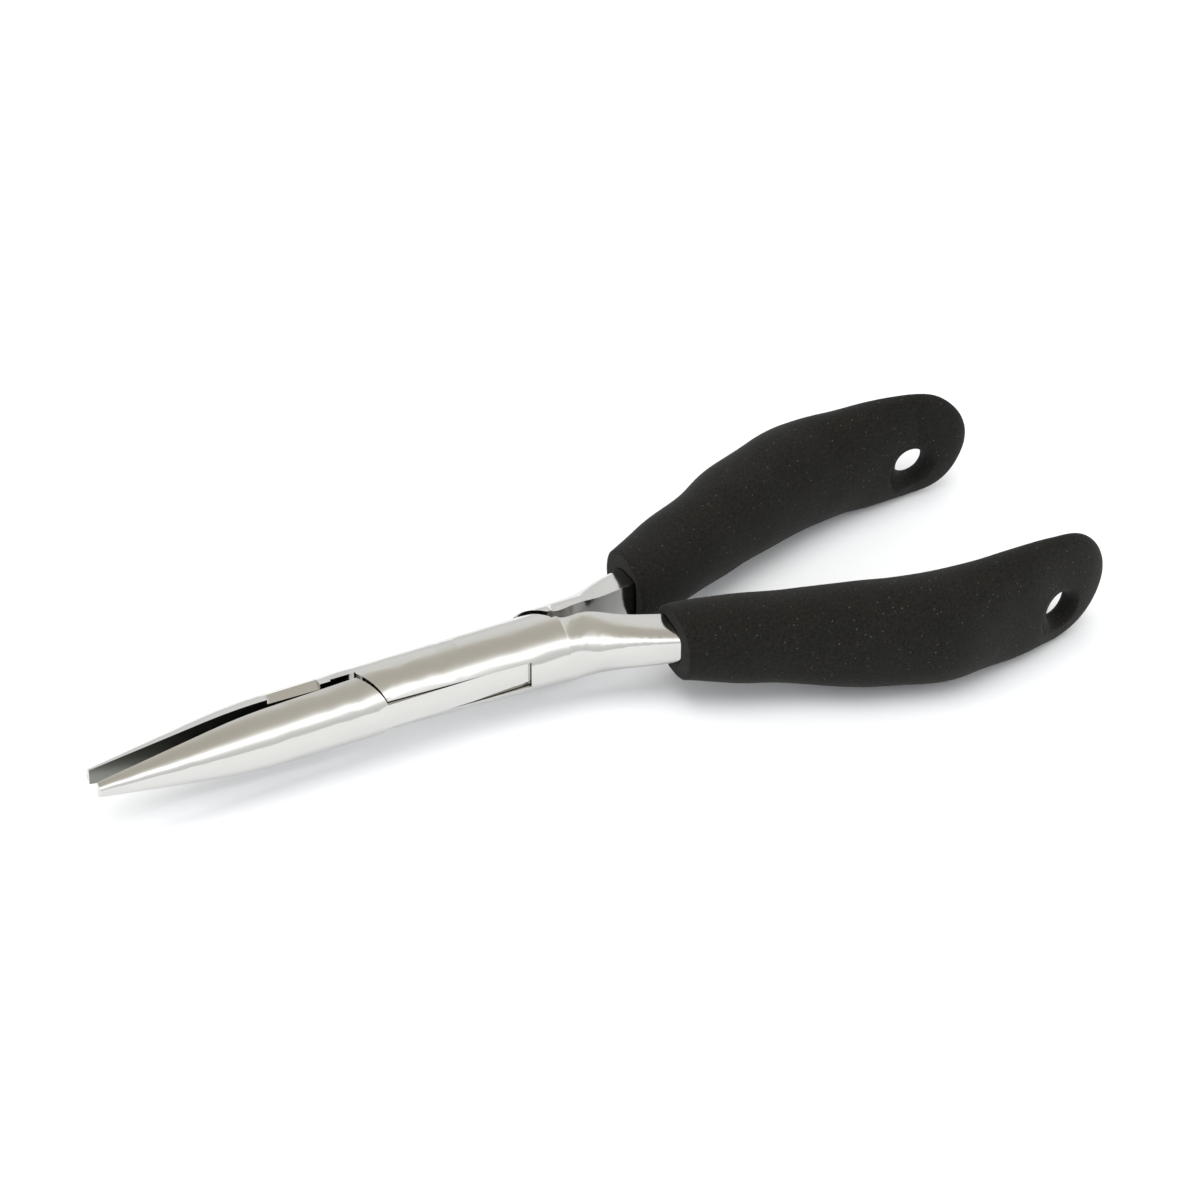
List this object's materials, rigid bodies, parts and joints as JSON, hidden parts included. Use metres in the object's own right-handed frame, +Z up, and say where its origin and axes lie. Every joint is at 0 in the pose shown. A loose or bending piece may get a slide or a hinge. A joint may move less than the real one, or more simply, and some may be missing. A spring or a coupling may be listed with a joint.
{
  "type": "fishing pliers",
  "caption": "Slim long-nose fishing pliers with a round box joint, half-round jaws, polished steel arms and curved foam grips with lanyard holes.",
  "frame": {"origin": "middle of the tool's footprint, on the plane it lies on", "axes": "+X from the jaws to the grips, +Y from the box arm's grip to the tongue arm's grip, +Z up along the pin"},
  "size_m": [0.1764, 0.0658, 0.0212],
  "materials": {
    "steel": "polished stainless steel",
    "pin_steel": "polished flush with the body",
    "foam": "matt foam with fine speckles"
  },
  "bodies": {
    "box_side": {"box_arm": "steel", "box_grip": "foam", "pivot_pin": "pin_steel"},
    "tongue_side": {"tongue_arm": "steel", "tongue_grip": "foam"}
  },
  "joints": [
    {"name": "jaw_pivot", "type": "hinge", "parent": "box_side", "child": "tongue_side", "pos_m": [-0.02523, 0, 0.01058], "axis": [0, 0, 1], "range_deg": [-3.1, 26.2]}
  ]
}
